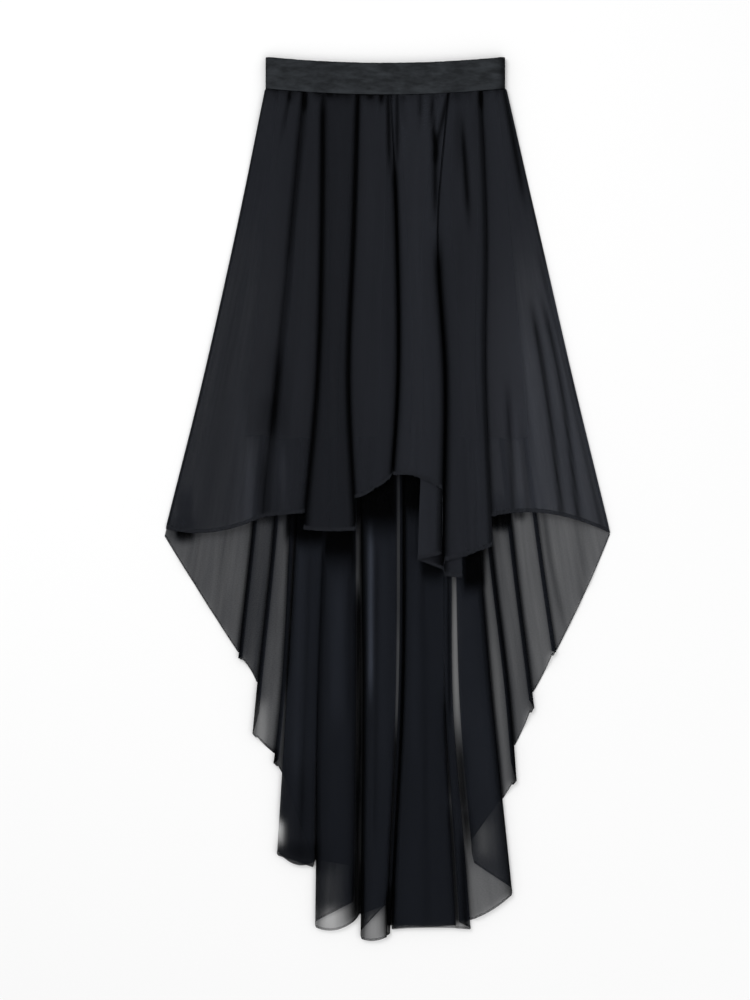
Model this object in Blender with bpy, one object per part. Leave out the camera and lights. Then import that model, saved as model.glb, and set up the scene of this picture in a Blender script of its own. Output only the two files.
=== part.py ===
"""Chiffon skirt with a short front and a long back, laid flat on a table.

An elastic waistband holds a gathered front panel and a longer gathered back panel, with a short
lining between them. Every piece is a thin wall that follows the cloth across its folds. Sizes are in
millimetres: x runs across the skirt, depth runs down from the top of the band, z up from the table.
"""

import math
from collections import namedtuple

import bpy

MM = 0.001

# Cloth
CLOTH = 1.0            # thickness of every cloth wall
SEAM_GAP = 0.3         # space between pieces that are sewn together
LAYERS_AT_BAND = 1.3   # height from one layer of a pleat to the next, pressed by the waist seam
LAYERS_BELOW = 2.4     # the same where the pleats lie loose

# Waistband
BAND_LEFT = -140.0
BAND_RIGHT = 135.0
BAND_TOP = 0.5         # depth of the band's top edge at its ends
BAND_DEEP = 35.5
BAND_DIP = 7.0         # how far the middle of the band sinks below its ends
BAND_WALL = 3.1
BAND_HIGH = 10.1       # the flattened loop from the table to its top
BAND_EDGE = 0.62       # share of the wall that is left at the band's rolled edges

# Heights above the table
EDGE_AT_BAND = 4.3     # the back panel's side edge, where it meets the end of the band
EDGE_DOWN_BY = 150.0   # depth at which that edge has come down to the table
LINING_AT_BAND = 4.4
LINING_BELOW = 6.8
FRONT_AT_BAND = 7.0
FRONT_BELOW = 10.2
SETTLE = (40.0, 115.0)  # depths between which the layers spread from the band to their full height
FALL_AT_BAND = 13.0    # how far in from the side edges a panel reaches its full height
FALL_BELOW = 50.0
FALL_FULL_BY = 300.0

# Pleats
LAP_AT_BAND = 0.35     # share of a pleat's full lap that is folded in at the band
LAP_FULL_BY = 330.0
CLEAR = 1.2            # from a fold's round edge to the next bend of the cloth
LAP_END = 0.08         # that bend's place past the lap, as a share of the panel's width
SINK = 14.0            # width over which a panel sinks from a pleat's top to the layer below
TRACK_SPACE = 22.0     # widest stretch of cloth without a line of points down it

# Lining
LINING_WAIST = 126.0
LINING_HEM_HALF = 162.0
LINING_HEM = 436.0
LINING_WAVES = 5
LINING_WAVE = 0.8

COLOURS = {
    "waistband": (0.020, 0.022, 0.024),
    "front_panel": (0.016, 0.017, 0.021),
    "back_panel": (0.018, 0.019, 0.026),
    "lining_front": (0.008, 0.008, 0.010),
    "lining_back": (0.008, 0.008, 0.010),
}
ROUGHNESS = {"waistband": 0.80, "front_panel": 0.62, "back_panel": 0.62}
LINING_ROUGHNESS = 0.45

# One row for each fold line, left to right, the first and the last being the side edges.
# x1 to x4: place of the line across the skirt at the panel's four measured depths.
# lap_l, lap_r: cloth folded under the panel left and right of the line, as a share of its width.
# hem_l, turn_1, turn_2, hem_r: depth of the hem as it crosses the fold, in the order of the cloth.
# hem_mid: depth of the hem at the middle of the panel right of the line.
Fold = namedtuple("Fold", "x1 x2 x3 x4 lap_l lap_r hem_l turn_1 turn_2 hem_r hem_mid")

FRONT_DEPTHS = (40.0, 200.0, 370.0, 530.0)
FRONT_FOLDS = [
    Fold(-141, -174, -212, -252, 0.00, 0.00, 541, 541, 541, 541, 545),
    Fold(-95, -112, -128, -142, 0.00, 0.14, 528, 527, 527, 527, 525),
    Fold(-74, -78, -83, -94, 0.00, 0.30, 523, 533, 540, 542, 544),
    Fold(-34, -39, -45, -38, 0.30, 0.00, 543, 535, 520, 506, 499),
    Fold(5, 11, 12, 5, 0.30, 0.25, 483, 478, 478, 480, 482),
    Fold(61, 58, 67, 66, 0.40, 0.33, 496, 577, 597, 578, 571),
    Fold(106, 113, 114, 119, 0.20, 0.00, 561, 545, 535, 527, 524),
    Fold(137, 174, 213, 252, 0.00, 0.00, 546, 546, 546, 546, 546),
]

BACK_DEPTHS = (40.0, 540.0, 740.0, 920.0)
BACK_FOLDS = [
    Fold(-141, -254, -297, -336, 0.00, 0.00, 550, 550, 550, 550, 613),
    Fold(-105, -151, -174, -187, 0.00, 0.35, 683, 688, 689, 690, 701),
    Fold(-94, -132, -153, -166, 0.00, 0.40, 717, 738, 760, 778, 790),
    Fold(-82, -111, -122, -144, 0.00, 0.25, 799, 804, 808, 811, 816),
    Fold(-71, -99, -112, -126, 0.00, 0.20, 820, 850, 880, 902, 924),
    Fold(-55, -71, -78, -80, 0.00, 0.62, 924, 929, 970, 1000, 1008),
    Fold(-27, -31, -27, -28, 0.00, 0.48, 984, 974, 972, 1014, 1018),
    Fold(14, 19, 17, 8, 0.15, 0.12, 1007, 997, 997, 1001, 999),
    Fold(56, 78, 83, 91, 0.10, 0.00, 1001, 994, 992, 991, 980),
    Fold(72, 105, 125, 138, 0.60, 0.00, 964, 902, 873, 851, 842),
    Fold(86, 118, 140, 153, 0.33, 0.00, 832, 815, 800, 790, 770),
    Fold(99, 143, 168, 189, 0.30, 0.00, 748, 740, 735, 729, 708),
    Fold(113, 172, 201, 227, 0.25, 0.00, 683, 682, 682, 681, 614),
    Fold(137, 254, 297, 337, 0.00, 0.00, 548, 548, 548, 548, 548),
]

# One row for each soft ridge: its line as above, height, half width, and the depths it runs between.
Ridge = namedtuple("Ridge", "x1 x2 x3 x4 high half begins ends")

FRONT_RIDGES = [
    Ridge(-136, -160, -188, -209, 2.6, 10, 230, 700),
    Ridge(-128, -146, -165, -172, 2.6, 9, 120, 700),
    Ridge(-112, -120, -126, -130, 2.8, 5, 0, 150),
    Ridge(-58, -57, -56, -55, 2.6, 5, 0, 120),
    Ridge(-12, -14, -15, -16, 3.0, 5, 0, 130),
    Ridge(37, 36, 35, 34, 3.2, 6, 0, 190),
    Ridge(84, 89, 92, 95, 3.6, 5, 0, 200),
    Ridge(121, 134, 139, 146, 3.4, 6, 200, 700),
    Ridge(126, 148, 160, 166, 2.4, 6, 300, 700),
    Ridge(130, 158, 180, 198, 3.8, 5, 120, 700),
    Ridge(133, 166, 197, 221, 3.6, 5, 180, 700),
]
BACK_RIDGES = [
    Ridge(-127, -214, -240, -262, 2.6, 11, 250, 1100),
    Ridge(-117, -184, -206, -220, 3.0, 10, 120, 1100),
    Ridge(-40, -50, -52, -52, 1.6, 6, 0, 500),
    Ridge(32, 42, 44, 44, 2.8, 9, 0, 1100),
    Ridge(46, 60, 66, 70, 2.2, 8, 0, 1100),
    Ridge(120, 191, 222, 250, 3.0, 8, 120, 1100),
    Ridge(127, 212, 246, 278, 2.6, 9, 250, 1100),
]


def smooth(value, low, high):
    """0 below low, 1 above high, and a soft step between."""
    share = min(1.0, max(0.0, (value - low) / (high - low)))
    return share * share * (3.0 - 2.0 * share)


def mix(first, second, share):
    return first + (second - first) * share


def line_at(row, depths, depth):
    """Where a fold line or a ridge crosses the skirt at a depth: a soft curve through its four places."""
    places = (row.x1, row.x2, row.x3, row.x4)
    slopes = [(places[i + 1] - places[i]) / (depths[i + 1] - depths[i]) for i in range(3)]
    if depth <= depths[0]:
        return places[0] + slopes[0] * (depth - depths[0])
    if depth >= depths[3]:
        return places[3] + slopes[2] * (depth - depths[3])
    part = max(i for i in range(3) if depth >= depths[i])
    start_slope = slopes[0] if part == 0 else 0.5 * (slopes[part - 1] + slopes[part])
    end_slope = slopes[2] if part == 2 else 0.5 * (slopes[part] + slopes[part + 1])
    step = depths[part + 1] - depths[part]
    share = (depth - depths[part]) / step
    bend = share * (1.0 - share) * step
    straight = mix(places[part], places[part + 1], share)
    lean = (1.0 - share) * (start_slope - slopes[part]) - share * (end_slope - slopes[part])
    return straight + bend * lean


def band_dip(x):
    """How far the waist seam and the band sink between the two ends of the band."""
    middle = 0.5 * (BAND_LEFT + BAND_RIGHT)
    reach = 0.5 * (BAND_RIGHT - BAND_LEFT)
    share = min(1.0, abs(x - middle) / reach)
    return BAND_DIP * (1.0 - share * share)


def seam_depth(x):
    return BAND_TOP + BAND_DEEP + 1.5 * SEAM_GAP + band_dip(x)


def layer_step(depth):
    return mix(LAYERS_AT_BAND, LAYERS_BELOW, smooth(depth, *SETTLE))


def resting_height(side, x, depth, left, right):
    """Height of a panel's lowest layer: down at the side seams, and full away from them."""
    inward = min(x - left, right - x)
    fall = mix(FALL_AT_BAND, FALL_BELOW, smooth(depth, SETTLE[0], FALL_FULL_BY))
    rise = smooth(inward, 0.0, fall)
    back_edge = mix(EDGE_AT_BAND, 0.5 * CLOTH, smooth(depth, SETTLE[0], EDGE_DOWN_BY))
    if side == "back":
        return mix(back_edge, 0.5 * CLOTH, rise)
    full = mix(FRONT_AT_BAND, FRONT_BELOW, smooth(depth, *SETTLE))
    return mix(back_edge + CLOTH + SEAM_GAP, full, rise)


def fold_path(fold, line, lap_left, lap_right, turn):
    """The cloth's way through one fold at one depth: x and layer at each bend, left to right."""
    if lap_left == 0.0 and lap_right == 0.0:
        return [(line, 0.0)]
    both = fold.lap_l > 0.0 and fold.lap_r > 0.0
    half_slit = turn + 0.5 * CLOTH + 0.5 if both else 0.0
    path = []
    if fold.lap_l > 0.0:
        edge = line - half_slit
        inner = edge - lap_left
        path += [(inner - turn - CLEAR, 2.0), (edge, 2.0), (edge + turn, 1.5), (edge, 1.0),
                 (inner, 1.0), (inner - turn, 0.5), (inner, 0.0)]
    if not both:
        side = 1.0 if fold.lap_l > 0.0 else -1.0
        path.append((line + side * (turn + CLEAR), 0.0))
    if fold.lap_r > 0.0:
        edge = line + half_slit
        inner = edge + lap_right
        path += [(inner, 0.0), (inner + turn, 0.5), (inner, 1.0), (edge, 1.0),
                 (edge - turn, 1.5), (edge, 2.0), (inner + turn + CLEAR, 2.0)]
    return path


def fold_hems(fold):
    """Depth of the hem at each bend of that way."""
    if fold.lap_l == 0.0 and fold.lap_r == 0.0:
        return [fold.hem_r]
    both = fold.lap_l > 0.0 and fold.lap_r > 0.0
    hems = []
    if fold.lap_l > 0.0:
        near = mix(fold.hem_l, fold.turn_1, 0.3)
        second = fold.turn_1 if both else fold.turn_2
        middle = 0.5 * (fold.turn_1 + second)
        hems += [fold.hem_l, fold.hem_l, fold.hem_l, near, fold.turn_1, middle, second]
    if not both:
        hems.append(fold.hem_r if fold.lap_l > 0.0 else fold.hem_l)
    if fold.lap_r > 0.0:
        first = fold.turn_2 if both else fold.turn_1
        middle = 0.5 * (first + fold.turn_2)
        near = mix(fold.hem_r, fold.turn_2, 0.3)
        hems += [first, middle, fold.turn_2, near, fold.hem_r, fold.hem_r, fold.hem_r]
    return hems


def panel_tracks(folds, ridges, depths, index):
    """Lines of points down the open part of a panel: three on each ridge, and even ones between."""
    check = depths[1]
    left = line_at(folds[index], depths, check)
    right = line_at(folds[index + 1], depths, check)
    tracks = []
    for ridge in ridges:
        place = line_at(ridge, depths, check)
        if left < place < right:
            tracks += [(place + ridge.half * side, ridge, side) for side in (-1, 0, 1)]
    count = max(1, round((right - left) / TRACK_SPACE * depths[3] / depths[2]))
    for number in range(1, count + 1):
        share = number / (count + 1)
        place = mix(left, right, share)
        if all(abs(place - track[0]) > 0.35 * TRACK_SPACE for track in tracks):
            tracks.append((place, None, share))
    return sorted(tracks, key=lambda track: track[0])


def sunk_layer(x, start, end, start_layer, end_layer):
    """How high a panel lies between two folds: up on a pleat, down on the layer below between them."""
    width = end - start
    one_high = (start_layer > 0.0) != (end_layer > 0.0)
    sink = min(SINK, width) if one_high else SINK
    layer = start_layer * (1.0 - smooth(x - start, 0.0, sink))
    layer += end_layer * (1.0 - smooth(end - x, 0.0, sink))
    return min(2.0, layer)


def spread(places, start, end):
    """Keeps the lines of points in order between two folds, where they run close together."""
    space = (end - start) / (len(places) + 1)
    least = min(0.8, 0.6 * space)
    places = list(places)
    for i in range(len(places)):
        floor = start + least if i == 0 else places[i - 1] + least
        places[i] = max(places[i], floor)
    for i in reversed(range(len(places))):
        ceiling = end - least if i == len(places) - 1 else places[i + 1] - least
        places[i] = min(places[i], ceiling)
    return places


def section(folds, ridges, depths, tracks, depth):
    """The cloth's path across a panel at one depth: x, layer and ridge height at each station.

    Both panels share the side edges down to the front hem, where they are sewn together.
    """
    lines = [line_at(fold, depths, depth) for fold in folds]
    if depth < BACK_DEPTHS[1]:
        lines[0] = line_at(FRONT_FOLDS[0], FRONT_DEPTHS, depth)
        lines[-1] = line_at(FRONT_FOLDS[-1], FRONT_DEPTHS, depth)
    lap_share = mix(LAP_AT_BAND, 1.0, smooth(depth, SETTLE[0], LAP_FULL_BY))
    turn = 0.5 * layer_step(depth)
    ways = []
    for i, fold in enumerate(folds):
        lap_left = lap_share * fold.lap_l * (lines[i] - lines[i - 1]) if fold.lap_l else 0.0
        lap_right = lap_share * fold.lap_r * (lines[i + 1] - lines[i]) if fold.lap_r else 0.0
        ways.append(fold_path(fold, lines[i], lap_left, lap_right, turn))
    path = [(x, layer, 0.0) for x, layer in ways[0]]
    for i in range(len(folds) - 1):
        start, start_layer = ways[i][-1]
        end, end_layer = ways[i + 1][0]
        places = []
        for place, ridge, side in tracks[i]:
            if ridge is None:
                places.append(mix(lines[i], lines[i + 1], side))
            else:
                places.append(line_at(ridge, depths, depth) + side * ridge.half)
        for x in spread(places, start, end):
            layer = sunk_layer(x, start, end, start_layer, end_layer)
            path.append((x, layer, ridge_height(ridges, depths, x, depth) * (1.0 - 0.5 * layer)))
        path += [(x, layer, 0.0) for x, layer in ways[i + 1]]
    return path


def ridge_height(ridges, depths, x, depth):
    height = 0.0
    for ridge in ridges:
        off = abs(x - line_at(ridge, depths, depth)) / ridge.half
        fade_in = smooth(depth, ridge.begins - 60.0, ridge.begins + 60.0) if ridge.begins else 1.0
        fade_out = 1.0 - smooth(depth, ridge.ends - 60.0, ridge.ends + 40.0)
        height = max(height, ridge.high * (1.0 - smooth(off, 0.0, 1.6)) * fade_in * fade_out)
    return height


def hem_across(left, right, share):
    """Depth of the hem at a share of the way across the panel between two fold lines: a soft curve."""
    slope = 4.0 * left.hem_mid - 3.0 * left.hem_r - right.hem_l
    curve = 2.0 * (left.hem_r + right.hem_l) - 4.0 * left.hem_mid
    return left.hem_r + slope * share + curve * share * share


def station_hems(folds, ridges, depths, tracks):
    """Depth of the hem at each station, in the order of the cloth."""
    hems = list(fold_hems(folds[0]))
    for i in range(len(folds) - 1):
        left, right = folds[i], folds[i + 1]
        if left.lap_r > 0.0:
            hems[-1] = hem_across(left, right, left.lap_r + LAP_END)
        check = left.hem_mid
        path_left = line_at(left, depths, check)
        path_right = line_at(right, depths, check)
        for place, ridge, side in tracks[i]:
            if ridge is None:
                share = side
            else:
                x = line_at(ridge, depths, check) + side * ridge.half
                share = min(0.97, max(0.03, (x - path_left) / (path_right - path_left)))
            hems.append(hem_across(left, right, share))
        next_hems = fold_hems(right)
        if right.lap_l > 0.0:
            next_hems[0] = hem_across(left, right, 1.0 - right.lap_l - LAP_END)
        hems += next_hems
    return hems


def outward(points, ring=False):
    """Which way the wall's upper face lies from each point of a section, long enough at the bends."""
    ways = []
    last = len(points) - 1
    for i, (x, z) in enumerate(points):
        before = points[i - 1] if i > 0 or ring else None
        after = points[(i + 1) % len(points)] if i < last or ring else None
        sides = []
        for start, end in ((before, (x, z)), ((x, z), after)):
            if start is not None and end is not None:
                run = math.hypot(end[0] - start[0], end[1] - start[1])
                sides.append(((start[1] - end[1]) / run, (end[0] - start[0]) / run))
        if len(sides) == 1:
            ways.append(sides[0])
            continue
        (ax, az), (bx, bz) = sides
        total = max(0.5, 1.0 + ax * bx + az * bz)
        ways.append(((ax + bx) / total, (az + bz) / total))
    return ways


def panel_section(side, folds, ridges, depths, tracks, depth):
    """The panel's section at one depth: x, height and outward way at each station."""
    path = section(folds, ridges, depths, tracks, depth)
    left, right = path[0][0], path[-1][0]
    points = []
    for x, layer, ridge in path:
        inward = smooth(min(x - left, right - x), 0.0, FALL_AT_BAND)
        height = resting_height(side, x, depth, left, right)
        points.append((x, height + layer * layer_step(depth) + ridge * inward))
    return [(x, z, *way) for (x, z), way in zip(points, outward(points))]


def panel_rows(side, folds, ridges, depths, level_depths, hem_rows):
    """Rows of points down a panel, from the waist seam to the hem.

    The upper rows lie level, so that all the layers rise together below the band. The lower ones are
    shared out between the last level row and each station's own hem.
    """
    tracks = [panel_tracks(folds, ridges, depths, i) for i in range(len(folds) - 1)]
    hems = station_hems(folds, ridges, depths, tracks)
    at_seam = section(folds, ridges, depths, tracks, SETTLE[0])
    row_depths = [[seam_depth(station[0]) for station in at_seam]]
    row_depths += [[depth] * len(hems) for depth in level_depths]
    for number in range(1, hem_rows + 1):
        row_depths.append([mix(level_depths[-1], hem, number / hem_rows) for hem in hems])
    sections = {}
    rows = []
    for row in row_depths:
        points = []
        for station, depth in enumerate(row):
            if depth not in sections:
                sections[depth] = panel_section(side, folds, ridges, depths, tracks, depth)
            x, z, way_x, way_z = sections[depth][station]
            points.append((x, -depth, z, way_x * 0.5 * CLOTH, way_z * 0.5 * CLOTH))
        rows.append(points)
    return rows


def fabric(name, colour, roughness):
    material = bpy.data.materials.new(name)
    material.use_nodes = True
    shader = material.node_tree.nodes["Principled BSDF"]
    shader.inputs["Base Color"].default_value = (*colour, 1.0)
    shader.inputs["Roughness"].default_value = roughness
    shader.inputs["Metallic"].default_value = 0.0
    material.diffuse_color = (*colour, 1.0)
    return material


def wall(name, rows, collection, ring=False):
    """A closed wall round rows of points, each with half the wall's thickness as a step in x and z."""
    across = len(rows[0])
    count = len(rows) * across
    upper = [(x + step_x, y, z + step_z) for row in rows for x, y, z, step_x, step_z in row]
    lower = [(x - step_x, y, z - step_z) for row in rows for x, y, z, step_x, step_z in row]
    faces = []
    for i in range(len(rows) - 1):
        for j in range(across if ring else across - 1):
            nxt = (j + 1) % across
            a, b, c, d = i * across + j, (i + 1) * across + j, (i + 1) * across + nxt, i * across + nxt
            faces.append((a, b, c, d))
            faces.append((count + d, count + c, count + b, count + a))
    last = (len(rows) - 1) * across
    for j in range(across if ring else across - 1):
        nxt = (j + 1) % across
        faces.append((j, nxt, count + nxt, count + j))
        faces.append((last + nxt, last + j, count + last + j, count + last + nxt))
    if not ring:
        for i in range(len(rows) - 1):
            here, below = i * across, (i + 1) * across
            faces.append((below, here, count + here, count + below))
            here, below = here + across - 1, below + across - 1
            faces.append((here, below, count + below, count + here))
    mesh = bpy.data.meshes.new(name)
    mesh.from_pydata([(x * MM, y * MM, z * MM) for x, y, z in upper + lower], [], faces)
    mesh.materials.append(fabric(name, COLOURS[name], ROUGHNESS.get(name, LINING_ROUGHNESS)))
    thing = bpy.data.objects.new(name, mesh)
    collection.objects.link(thing)


def make_panels(collection):
    front_levels = (60.0, 90.0, 130.0, 200.0, 290.0, 380.0)
    front = panel_rows("front", FRONT_FOLDS, FRONT_RIDGES, FRONT_DEPTHS, front_levels, 3)
    wall("front_panel", front, collection)
    back_levels = (60.0, 90.0, 130.0, 210.0, 320.0, 440.0)
    back = panel_rows("back", BACK_FOLDS, BACK_RIDGES, BACK_DEPTHS, back_levels, 6)
    wall("back_panel", back, collection)


def make_lining(collection):
    """Two short plain pieces that lie on each other between the panels."""
    across = 26
    depths = (0.0, 0.06, 0.14, 0.3, 0.5, 0.75, 1.0)
    for name, lift in (("lining_back", 0.0), ("lining_front", CLOTH + SEAM_GAP)):
        rows = []
        for share in depths:
            row = []
            for j in range(across + 1):
                place = 2.0 * j / across - 1.0
                start = seam_depth(place * LINING_WAIST)
                depth = mix(start, LINING_HEM, share)
                half = mix(LINING_WAIST, LINING_HEM_HALF, share)
                low = mix(LINING_AT_BAND, LINING_BELOW, smooth(depth, *SETTLE))
                wave = abs((place * LINING_WAVES) % 2.0 - 1.0)
                swell = LINING_WAVE * smooth(wave, 0.0, 1.0) * smooth(depth, 60.0, 200.0)
                row.append((place * half, -depth, low + lift + swell, 0.0, 0.5 * CLOTH))
            rows.append(row)
        wall(name, rows, collection)


def make_waistband(collection):
    """The elastic loop, pressed flat: two long runs joined by round ends, dipping in the middle."""
    runs = 24
    bends = 6
    high = 0.5 * (BAND_HIGH - BAND_WALL)
    left = BAND_LEFT + high + 0.5 * BAND_WALL
    right = BAND_RIGHT - high - 0.5 * BAND_WALL
    middle = 0.5 * BAND_HIGH
    loop = []
    for j in range(runs):
        loop.append((mix(left, right, j / runs), middle + high))
    for j in range(bends):
        turn = math.pi * (0.5 - j / bends)
        loop.append((right + high * math.cos(turn), middle + high * math.sin(turn)))
    for j in range(runs):
        loop.append((mix(right, left, j / runs), middle - high))
    for j in range(bends):
        turn = math.pi * (1.5 - j / bends)
        loop.append((left + high * math.cos(turn), middle + high * math.sin(turn)))
    ways = outward(loop, ring=True)
    rows = []
    for share, wall_share in ((0.0, BAND_EDGE), (0.06, 1.0), (0.5, 1.0), (0.94, 1.0), (1.0, BAND_EDGE)):
        half = 0.5 * BAND_WALL * wall_share
        row = []
        for (x, z), (way_x, way_z) in zip(loop, ways):
            depth = BAND_TOP + band_dip(x) + share * BAND_DEEP
            row.append((x, -depth, z, way_x * half, way_z * half))
        rows.append(row)
    wall("waistband", rows, collection, ring=True)


def place_on_origin(collection):
    """Moves the finished pieces so that the skirt lies on z = 0, centred on the origin."""
    corners = [vertex.co.copy() for thing in collection.objects for vertex in thing.data.vertices]
    shift = []
    for axis in range(3):
        low = min(corner[axis] for corner in corners)
        high = max(corner[axis] for corner in corners)
        shift.append(-low if axis == 2 else -0.5 * (low + high))
    for thing in collection.objects:
        for vertex in thing.data.vertices:
            for axis in range(3):
                vertex.co[axis] += shift[axis]


for thing in list(bpy.data.objects):
    bpy.data.objects.remove(thing, do_unlink=True)
skirt = bpy.data.collections.new("chiffon_skirt")
bpy.context.scene.collection.children.link(skirt)
make_waistband(skirt)
make_panels(skirt)
make_lining(skirt)
place_on_origin(skirt)
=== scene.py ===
"""Chiffon skirt with a short front and a long back, laid flat and seen from straight above."""

import math
from collections import namedtuple

import bpy
import numpy as np
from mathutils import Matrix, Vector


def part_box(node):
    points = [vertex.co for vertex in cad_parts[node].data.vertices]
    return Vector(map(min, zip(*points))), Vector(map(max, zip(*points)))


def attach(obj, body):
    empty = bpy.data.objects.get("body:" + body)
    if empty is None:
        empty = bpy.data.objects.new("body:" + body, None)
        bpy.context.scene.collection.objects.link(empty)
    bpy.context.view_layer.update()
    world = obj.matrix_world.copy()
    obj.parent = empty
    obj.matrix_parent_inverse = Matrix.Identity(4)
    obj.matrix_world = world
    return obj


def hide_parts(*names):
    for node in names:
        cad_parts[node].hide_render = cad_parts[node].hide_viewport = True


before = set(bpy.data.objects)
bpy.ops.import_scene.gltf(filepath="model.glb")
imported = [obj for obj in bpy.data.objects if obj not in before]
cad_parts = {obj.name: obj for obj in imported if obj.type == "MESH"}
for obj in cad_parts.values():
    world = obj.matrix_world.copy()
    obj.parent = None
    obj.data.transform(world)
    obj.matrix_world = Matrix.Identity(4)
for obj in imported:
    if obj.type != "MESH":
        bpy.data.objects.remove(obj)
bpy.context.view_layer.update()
bpy.ops.object.select_all(action="DESELECT")


# Back panel
# One wide piece of black chiffon, gathered into the waist and as long as a train at the middle. It lies
# with its inside up, in deep pleats at the centre and in a single fanned layer towards the side seams.

MM = 0.001

# The waistband: its ends across the skirt, its top, the seam under it, and how far its middle sinks.
BAND_ENDS = (-140.0, 135.0)
BAND_TOP = 0.5
SEAM_DEPTH = 36.6
BAND_DIP = 7.0

band_low, band_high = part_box("waistband")
skirt_middle = 0.5 * (band_low.x + band_high.x) - 0.5 * sum(BAND_ENDS) * MM
skirt_top = band_high.y + BAND_TOP * MM

# Pleats: one row for each fold line, left to right, the first and the last being the side seams.
# x1 to x4: millimetres across the skirt at the panel's four depths below the top of the band.
# lap_l, lap_r: cloth folded under the panel left and right of the line, as a share of its width.
# hem_l, turn_1, turn_2, hem_r: depth of the hem as it crosses the fold, in the order of the cloth.
# hem_mid: depth of the hem at the middle of the panel right of the line.
# tone, cover: painted light and shade of the panel right of the line, and how much of the light it
# stops.
# dark, wide, begins: how deep the fold's shadow is, its half width, and the depth it starts at.
Fold = namedtuple(
    "Fold",
    "x1 x2 x3 x4 lap_l lap_r hem_l turn_1 turn_2 hem_r hem_mid tone cover dark wide begins",
)

BACK_DEPTHS = (40.0, 540.0, 740.0, 920.0)
BACK_FOLDS = [
    Fold(-141, -254, -297, -336, 0.00, 0.00, 550, 550, 550, 550, 613, 1.25, 0.75, 0.0, 1, 0),
    Fold(-105, -154, -175, -187, 0.00, 0.08, 683, 688, 689, 690, 701, 1.25, 0.83, 0.9, 3.2, 0),
    Fold(-94, -129.5, -150.5, -166, 0.00, 0.10, 717, 738, 760, 778, 790, 1.3, 0.77, 0.85, 3.2, 0),
    Fold(-82, -111, -122, -144, 0.00, 0.25, 799, 804, 808, 811, 816, 1.5, 0.78, 0.7, 3.0, 0),
    Fold(-71, -103, -115, -126, 0.00, 0.90, 820, 922, 930, 912, 927, 1.2, 0.72, 0.3, 3.0, 0),
    Fold(-55, -72, -79, -81, 0.00, 0.80, 922, 929, 970, 999, 1001, 1.04, 0.72, 0.7, 3.8, 0),
    Fold(-27, -29, -27.5, -29, 0.00, 0.80, 984, 974, 972, 1012, 1014, 1.12, 0.72, 1.0, 4.0, 0),
    Fold(14, 19, 17, 8, 0.03, 0.79, 1007, 997, 997, 1001, 999, 1.08, 0.72, 1.0, 3.6, 0),
    Fold(56, 72, 74, 88, 0.11, 0.00, 1001, 994, 992, 991, 980, 1.3, 0.68, 0.0, 2.6, 0),
    Fold(72, 103, 119.5, 138, 0.78, 0.00, 962, 925, 898, 851, 842, 1.3, 0.70, 0.9, 4.0, 0),
    Fold(86, 116.5, 140, 153, 0.14, 0.00, 832, 815, 800, 790, 770, 1.4, 0.73, 0.93, 4.0, 0),
    Fold(99, 142, 166.5, 189, 0.09, 0.00, 748, 740, 735, 729, 708, 1.4, 0.70, 0.82, 3.8, 0),
    Fold(113, 172, 201, 227, 0.07, 0.00, 683, 682, 682, 681, 614, 1.4, 0.70, 0.55, 3.4, 0),
    Fold(137, 254, 297, 337, 0.00, 0.00, 548, 548, 548, 548, 548, 1.4, 0.70, 0.0, 1, 0),
]

# Creases: soft valleys between two low shoulders. A negative dark is a ridge that catches the light.
# x1 to x4: as for the pleats. high: height of the shoulders. dark, half: how deep the shadow is, and
# its half width. begins, ends: the depths between which the crease shows.
Crease = namedtuple("Crease", "x1 x2 x3 x4 high dark half begins ends")

BACK_CREASES = [
    Crease(-127, -214, -240, -262, 1.6, 0.08, 9, 250, 1100),
    Crease(-117, -184, -206, -220, 1.8, 0.12, 8, 120, 1100),
    Crease(-78, -106, -118, -134, 0.0, 0.90, 4.5, 0, 735),
    Crease(-70, -98, -104, -108, 0.5, -0.30, 4, 560, 860),
    Crease(-64, -88, -94, -100, 0.5, 0.30, 3, 560, 900),
    Crease(-50, -57, -58, -60, 0.6, -0.55, 8, 600, 760),
    Crease(-40, -43, -44, -45, 0.6, 0.45, 3, 570, 760),
    Crease(-35, -34, -33, -35, 0.0, 0.97, 8, 605, 1100),
    # Painted light for the floor that shows through a narrow slit here.
    Crease(-20, -19.4, -19.6, -21, 0.0, -3.2, 2.7, 545, 725),
    Crease(-12, -13, -13, -15, 0.4, 0.35, 3, 560, 900),
    Crease(-5, -5, -5, -8, 0.4, -0.15, 5, 560, 800),
    Crease(11, 11.5, 11, 8, 0.0, 0.45, 2.6, 0, 660),
    Crease(11, 12, 11, 3, 0.0, 0.95, 3.6, 765, 1100),
    Crease(28, 29, 30, 30, 0.6, -0.20, 6, 590, 800),
    Crease(32, 40, 42, 44, 0.8, 0.25, 4, 0, 1100),
    Crease(60, 63.5, 64.9, 75.2, 0.0, 0.90, 3.2, 735, 860),
    Crease(60, 63.5, 64.9, 75.2, 0.0, 0.92, 4, 850, 1100),
    Crease(66, 69.5, 71, 74, 0.0, 0.75, 2.2, 565, 760),
    Crease(74, 76, 79.5, 93, 0.0, 0.86, 6.5, 782, 880),
    Crease(74, 76, 80.5, 94, 0.0, 0.92, 6.5, 850, 915),
    Crease(74, 76, 80, 87, 0.0, 0.82, 5, 890, 1100),
    Crease(120, 181, 222, 262, 2.0, 0.32, 4, 420, 650),
    Crease(127, 218, 236, 260, 1.8, 0.16, 6, 420, 640),
]

# Places painted in shade and closed up (amount above 0), and places that lie so flat that light comes
# through (below 0).
# x, depth: the middle of the place. wide, deep: how far it reaches across and down.
Spot = namedtuple("Spot", "x depth wide deep amount")

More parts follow.
